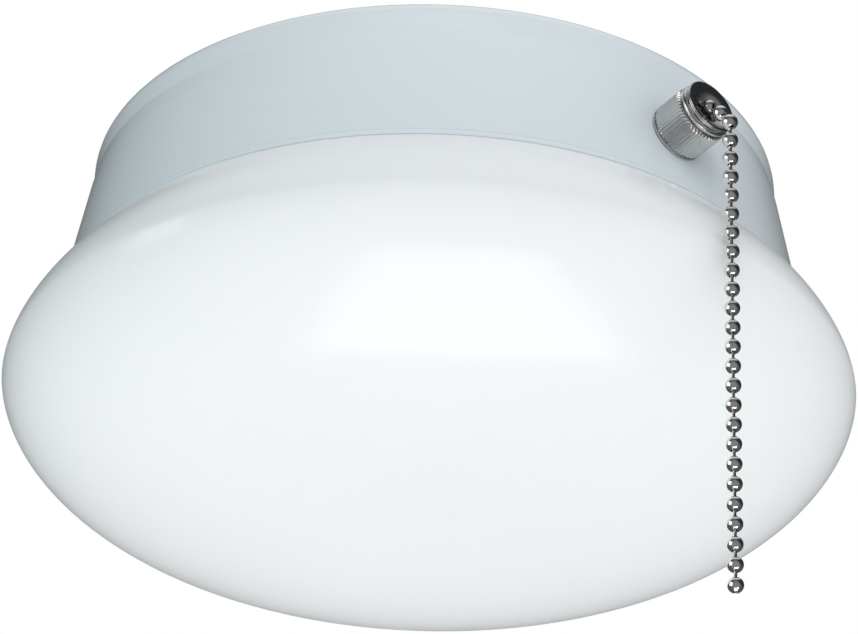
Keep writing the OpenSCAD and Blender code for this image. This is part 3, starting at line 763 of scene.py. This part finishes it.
def build_nut():
    """Straight-knurled nut with a plain rim at its foot and a chamfer that cuts the ribs."""
    foot = 0.5
    relief = 0.75
    knurl_end = NUT_L - 0.62
    rib_depth = 0.42
    rib_slope = 1.1
    inner = 4.86
    rim = NUT_R - 0.05
    neck = NUT_R - 0.32
    plain_below = (NUT_R - 0.5) * MM
    levels = [(inner, NUT_GAP), (NUT_R - 0.2, NUT_GAP), (rim, NUT_GAP + 0.1),
              (rim, foot), (neck, foot + 0.06), (neck, relief),
              (NUT_R, relief + 0.04), (NUT_R, relief + 0.5), (NUT_R, NUT_L / 2),
              (NUT_R, knurl_end - 0.4), (NUT_R, knurl_end), (NUT_R - 0.18, knurl_end + 0.17),
              (NUT_R - 0.36, knurl_end + 0.34), (NUT_R - 0.62, NUT_L), (inner, NUT_L)]
    profile = [(r * MM, z * MM) for r, z in levels]

    def wave(r, z, a):
        if z <= relief * MM or r < plain_below:
            return r
        phase = (a * NUT_RIBS / (2 * math.pi)) % 1.0
        ridge = abs(2 * phase - 1)
        valley = (NUT_R - rib_depth * min(1.0, ridge * rib_slope)) * MM
        return min(r, valley)

    obj = turned("switch_nut", profile, NUT_RIBS * 8, TO_SWITCH, wave=wave, sharp_deg=28)
    dress(obj, "nickel_plate", "fixture", "knurled_nut")


def build_bell_mouth():
    """Turned ferrule: round collar, groove, flared lip with a rolled double edge."""
    tail_x = 2.0
    tail_r = 2.85
    collar_x = NUT_L + 0.08
    collar_r = 6.08
    collar_w = 1.36
    groove_r = 5.0
    lip_x = MOUTH_END - 0.9
    flare_c = BORE_R + FLARE_R
    lip_r = flare_c + 0.32
    profile = [(BORE_R, tail_x), (tail_r, tail_x), (tail_r, collar_x), (collar_r - 0.8, collar_x)]
    profile += list(arc(collar_r - collar_w / 2, collar_x + collar_w / 2, collar_w / 2,
                        -88, 80, 16))
    profile += [(groove_r + 0.15, collar_x + collar_w), (groove_r, collar_x + collar_w + 0.12),
                (groove_r, lip_x - 0.1), (groove_r + 0.12, lip_x)]
    profile += [(lip_r - 0.3, lip_x + 0.28)]
    profile += list(arc(lip_r - 0.2, lip_x + 0.48, 0.2, -60, 40, 6))
    profile += [(lip_r - 0.13, lip_x + 0.66)]
    profile += list(arc(lip_r - 0.24, MOUTH_END - 0.14, 0.14, -10, 90, 6))
    profile += [(flare_c - FLARE_R * math.cos(math.radians(a)),
                 MOUTH_X + FLARE_R * math.sin(math.radians(a))) for a in range(86, -1, -4)]
    mm_profile = [(r * MM, z * MM) for r, z in profile]
    obj = turned("bell_mouth_ferrule", mm_profile, 160, TO_SWITCH)
    dress(obj, "nickel_plate", "fixture", "bell_mouth")


build_nut()
build_bell_mouth()


# ------------------------------------------------------------------ remaining CAD nodes

dress_cad_nodes()


# ------------------------------------------------------------------ studio

CENTRE = Vector((0, 0, -0.05))
FRONT = Vector((BACK.x, BACK.y, 0)).normalized()
FLOOR_LEVEL = -2.4
FLOOR_REACH = 30.0

# Places are given as (right, front, up) from the centre, in metres, and radiances as
# (red, green, blue).
SOFTBOX_AT = (0.1, 0.08, -1.0)
SOFTBOX_SIZE = (0.7, 1.05)
SOFTBOX = (1.9, 1.9, 1.9)
STRIP_AT = (-1.1, 0.4, 0.12)
STRIP_SIZE = (0.5, 0.32)
STRIP = (1.8, 1.85, 1.85)
FLAG = (0.9, 0.9)
# Lights that leave no reflection: name, place, way across, size, radiance.
FILLS = (
    ("low_fill", (0, 0, -1.2), RIGHT, (1.6, 1.6), (0.5, 0.5, 0.5)),
    ("front_level", (0, 1.6, 0.1), RIGHT, FLAG, (1.1, 1.1, 1.1)),
    ("front_high", (0, 1.4, 0.8), RIGHT, FLAG, (2.15, 2.15, 2.2)),
    ("side_left", (-1.5, 0.2, 0.1), Z_UP, FLAG, (0.6, 0.8, 0.84)),
    ("side_right", (1.5, 0.2, 0.1), Z_UP, FLAG, (0.4, 0.42, 0.43)))
# Lights that only plated pieces catch: name, way to it (camera, right, up), size, radiance.
GLINTS = (
    ("glint_low_right", (0.68, 0.42, -0.60), (0.20, 0.20), (7.0, 7.0, 7.0)),
    ("glint_left", (0.30, -0.90, 0.15), (0.75, 0.90), (1.5, 1.5, 1.5)))
GLINT_AIM = WALL_POINT + OUT * (NUT_L * MM)
POLISHED = ([MATS["nickel_plate"]], [MATS["chain_steel"]])

# The room as dull surfaces see it (ROOM) and as polished ones do (MIRROR). Each fade gives the
# cosines between which one colour turns into the next.
ROOM_LEFT = (0.02, 0.055, 0.055)
ROOM_RIGHT = (0.8, 0.81, 0.83)
ROOM_LOW = (0.54, 0.55, 0.56)
MIRROR_DARK = (0.03, 0.032, 0.034)
MIRROR_BACK = (0.10, 0.105, 0.11)
MIRROR_FRONT = (0.27, 0.275, 0.28)
MIRROR_TOP = (0.80, 0.82, 0.84)
DARK_WAY = Vector((0.55, -0.45, 0.70))
RIGHT_FADE = (-0.9, 0.5)
LOW_FADE = (-0.12, 0.22)
FRONT_FADE = (0.1, 0.9)
DARK_FADE = (0.45, 0.85)
TOP_FADE = (0.72, 1.0)


def from_centre(right, front, up):
    """Place given by its distances from the centre, as the camera sees them."""
    return CENTRE + RIGHT * right + FRONT * front + Z_UP * up


def add_area(name, place, toward, across, size, radiance, in_gloss=True):
    """Soft light at a place, facing a point. Its radiance is what a mirror shows of it."""
    data = bpy.data.lights.new(name, "AREA")
    data.shape = "RECTANGLE"
    data.size, data.size_y = size
    peak = max(radiance)
    data.energy = peak * math.pi * size[0] * size[1]
    data.color = [c / peak for c in radiance]
    obj = bpy.data.objects.new(name, data)
    away = (place - toward).normalized()
    side = (across - away * across.dot(away)).normalized()
    turn = Matrix((side, away.cross(side), away)).transposed().to_4x4()
    obj.matrix_world = Matrix.Translation(place) @ turn
    obj.visible_camera = False
    obj.visible_glossy = in_gloss
    bpy.context.collection.objects.link(obj)
    return obj


def polished_pieces():
    """The nickel-plated pieces, which alone catch the glints."""
    group = bpy.data.collections.get("polished")
    if group is None:
        group = bpy.data.collections.new("polished")
        for obj in bpy.context.scene.objects:
            if obj.type == "MESH" and obj.data.materials[:1] in POLISHED:
                group.objects.link(obj)
    return group


def add_floor():
    """Pale sheet far below, which the camera sees and the part doesn't."""
    cells = 24
    steps = [FLOOR_REACH * (2 * i / cells - 1) for i in range(cells + 1)]
    bm = bmesh.new()
    grid = [[bm.verts.new((x, y, FLOOR_LEVEL)) for y in steps] for x in steps]
    for i in range(cells):
        for j in range(cells):
            bm.faces.new((grid[i][j], grid[i + 1][j], grid[i + 1][j + 1], grid[i][j + 1]))
    floor = link_mesh("studio_floor", bm)
    floor.data.materials.append(finish_material(
        "pale_floor", (0.84, 0.85, 0.85), rough=0.6, vary=0.01, grain=3.0,
        Emission_Color=(0.90, 0.91, 0.91, 1), Emission_Strength=0.5))
    floor.visible_glossy = False
    floor.visible_diffuse = False
    floor.visible_shadow = False


def add_world():
    """Pale room above, darker below and to the left. Polished parts see it much darker."""
    world = bpy.data.worlds.new("studio")
    bpy.context.scene.world = world
    world.use_nodes = True
    tree = world.node_tree
    nodes, links = tree.nodes, tree.links
    nodes.clear()
    place = nodes.new("ShaderNodeTexCoord").outputs["Generated"]

    def along(direction, low, high):
        dot = nodes.new("ShaderNodeVectorMath")
        dot.operation = "DOT_PRODUCT"
        dot.inputs[1].default_value = direction
        links.new(place, dot.inputs[0])
        spread = nodes.new("ShaderNodeMapRange")
        spread.interpolation_type = "SMOOTHSTEP"
        spread.inputs["From Min"].default_value = low
        spread.inputs["From Max"].default_value = high
        links.new(dot.outputs["Value"], spread.inputs["Value"])
        return spread.outputs["Result"]

    def blend(fac, first, second):
        mix = nodes.new("ShaderNodeMix")
        mix.data_type = "RGBA"
        links.new(fac, mix.inputs[0])
        for socket, value in ((mix.inputs[6], first), (mix.inputs[7], second)):
            if isinstance(value, tuple):
                socket.default_value = (*value, 1)
            else:
                links.new(value, socket)
        return mix.outputs[2]

    sideways = along(RIGHT, *RIGHT_FADE)
    upward = along(Z_UP, *LOW_FADE)
    path = nodes.new("ShaderNodeLightPath")
    lit = blend(upward, ROOM_LOW, blend(sideways, ROOM_LEFT, ROOM_RIGHT))
    level = blend(along(BACK, *FRONT_FADE), MIRROR_BACK, MIRROR_FRONT)
    flagged = blend(along(DARK_WAY, *DARK_FADE), level, MIRROR_DARK)
    mirrored = blend(along(Z_UP, *TOP_FADE), flagged, MIRROR_TOP)
    colour = blend(path.outputs["Is Glossy Ray"], lit, mirrored)
    room = nodes.new("ShaderNodeBackground")
    links.new(colour, room.inputs["Color"])
    seen = nodes.new("ShaderNodeBackground")
    seen.inputs["Color"].default_value = (1, 1, 1, 1)
    mix = nodes.new("ShaderNodeMixShader")
    links.new(path.outputs["Is Camera Ray"], mix.inputs["Fac"])
    links.new(room.outputs["Background"], mix.inputs[1])
    links.new(seen.outputs["Background"], mix.inputs[2])
    output = nodes.new("ShaderNodeOutputWorld")
    links.new(mix.outputs["Shader"], output.inputs["Surface"])


def add_lights():
    """Softbox and fills below, two pale flags in front, dim sides, one strip and two glints."""
    low = from_centre(*SOFTBOX_AT)
    add_area("low_softbox", low, Vector((low.x, low.y, 0)), RIGHT, SOFTBOX_SIZE, SOFTBOX)
    for name, place, across, size, radiance in FILLS:
        add_area(name, from_centre(*place), CENTRE, across, size, radiance, in_gloss=False)
    add_area("left_strip", from_centre(*STRIP_AT), CENTRE, Z_UP, STRIP_SIZE, STRIP)
    for name, way, size, radiance in GLINTS:
        aim = BACK * way[0] + RIGHT * way[1] + UP * way[2]
        glint = add_area(name, GLINT_AIM + aim.normalized(), GLINT_AIM, UP, size, radiance)
        glint.visible_diffuse = False
        glint.light_linking.receiver_collection = polished_pieces()


bpy.context.scene.view_settings.view_transform = "Standard"
add_floor()
add_world()
add_lights()
